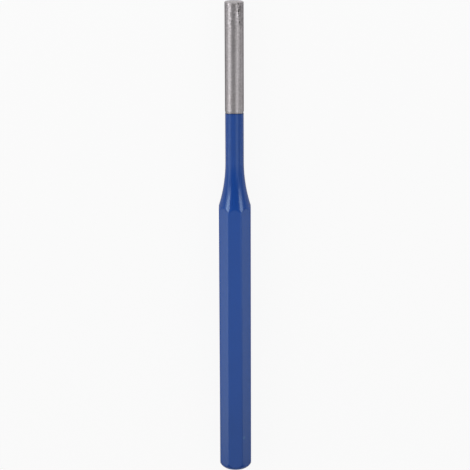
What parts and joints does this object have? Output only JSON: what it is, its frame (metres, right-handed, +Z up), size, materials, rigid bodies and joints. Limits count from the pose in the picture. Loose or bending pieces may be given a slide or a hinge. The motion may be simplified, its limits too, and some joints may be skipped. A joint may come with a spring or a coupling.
{
  "type": "pin punch",
  "caption": "Steel pin punch with an octagonal shank, rounded and crowned striking head, concave flare and straight pin, coated in blue lacquer that leaves the working end of the pin bare.",
  "frame": {"origin": "on the surface that the punch lies on, under the middle of its length and its axis", "axes": "+Y along the punch from the striking head to the pin tip, +Z up from the flat that it lies on, +X to the right seen from above with the tip at the top"},
  "size_m": [0.01, 0.1526, 0.01],
  "materials": {
    "bare_steel": "ground bare steel, neutral grey, fine grain along the pin",
    "blue_lacquer": "dipped mid-blue gloss lacquer"
  },
  "bodies": {
    "root": {"steel_punch": "bare_steel", "lacquer_coat": "blue_lacquer"}
  },
  "joints": []
}
